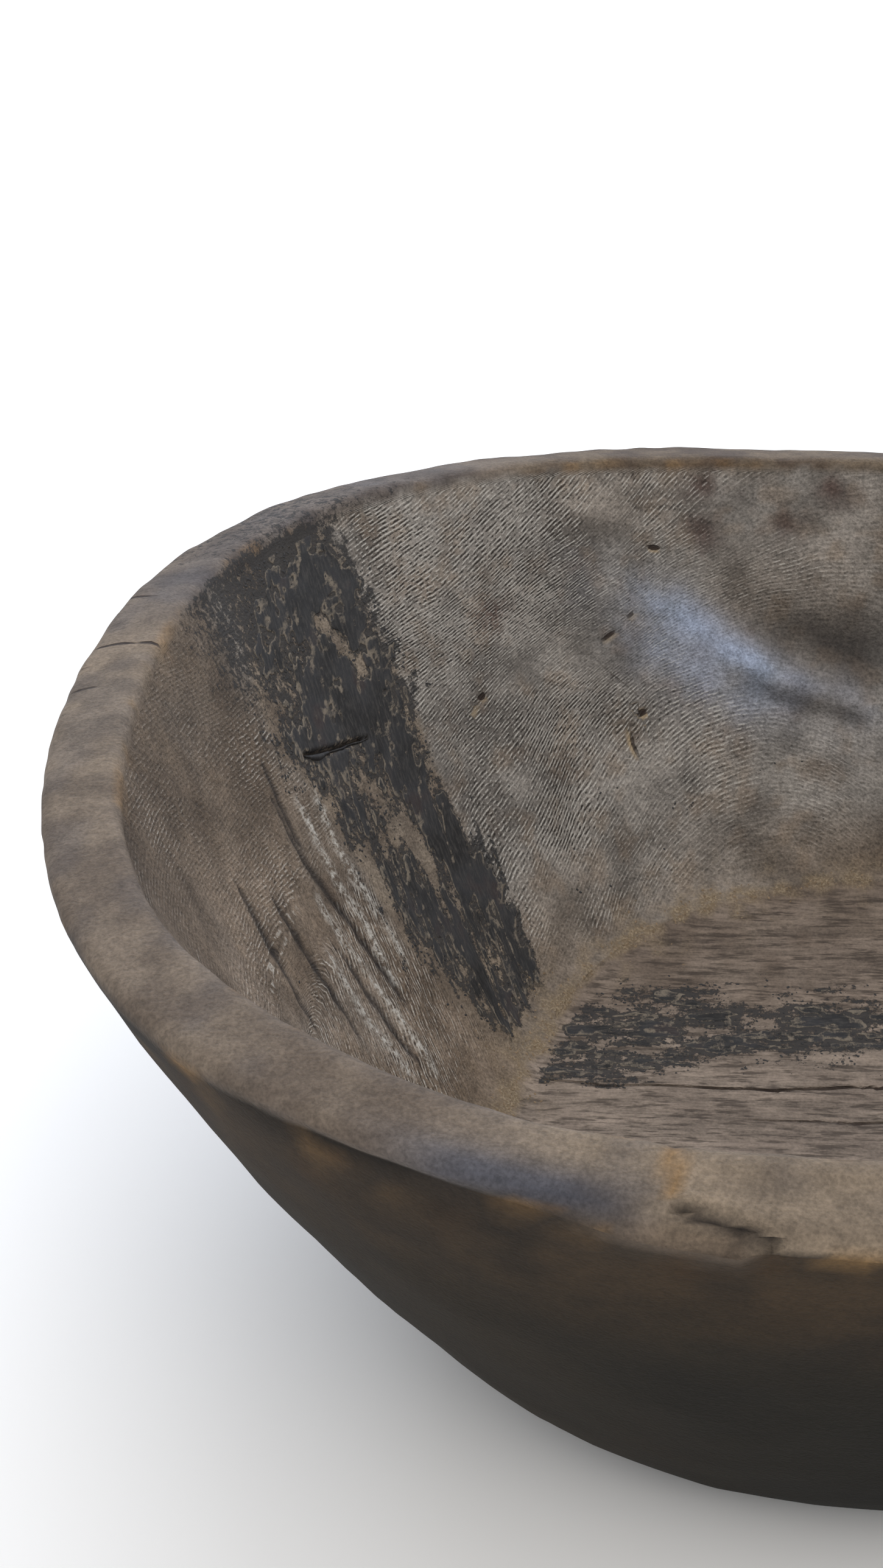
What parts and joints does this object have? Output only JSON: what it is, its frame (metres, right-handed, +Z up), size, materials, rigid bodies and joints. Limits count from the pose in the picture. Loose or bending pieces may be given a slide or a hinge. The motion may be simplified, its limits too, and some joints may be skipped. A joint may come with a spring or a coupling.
{
  "type": "wooden bowl",
  "caption": "Large round hand-carved wooden bowl with thick walls, a flat rim, a flat base and worn black pitch bands inside.",
  "frame": {"origin": "middle of the flat base, on the surface the bowl stands on", "axes": "+Z up through the bowl's mouth, +X roughly along the wood's grain, +Y away from the picture's viewpoint"},
  "size_m": [0.4906, 0.4814, 0.1973],
  "materials": {
    "carved_wood": "matt, weathered, with fine ripple marks",
    "black_pitch": "matt, flaked"
  },
  "bodies": {
    "root": {"carved_bowl": "carved_wood", "wall_pitch_coat": "black_pitch", "floor_pitch_coat": "black_pitch", "crack_pitch_bead": "black_pitch"}
  },
  "joints": []
}
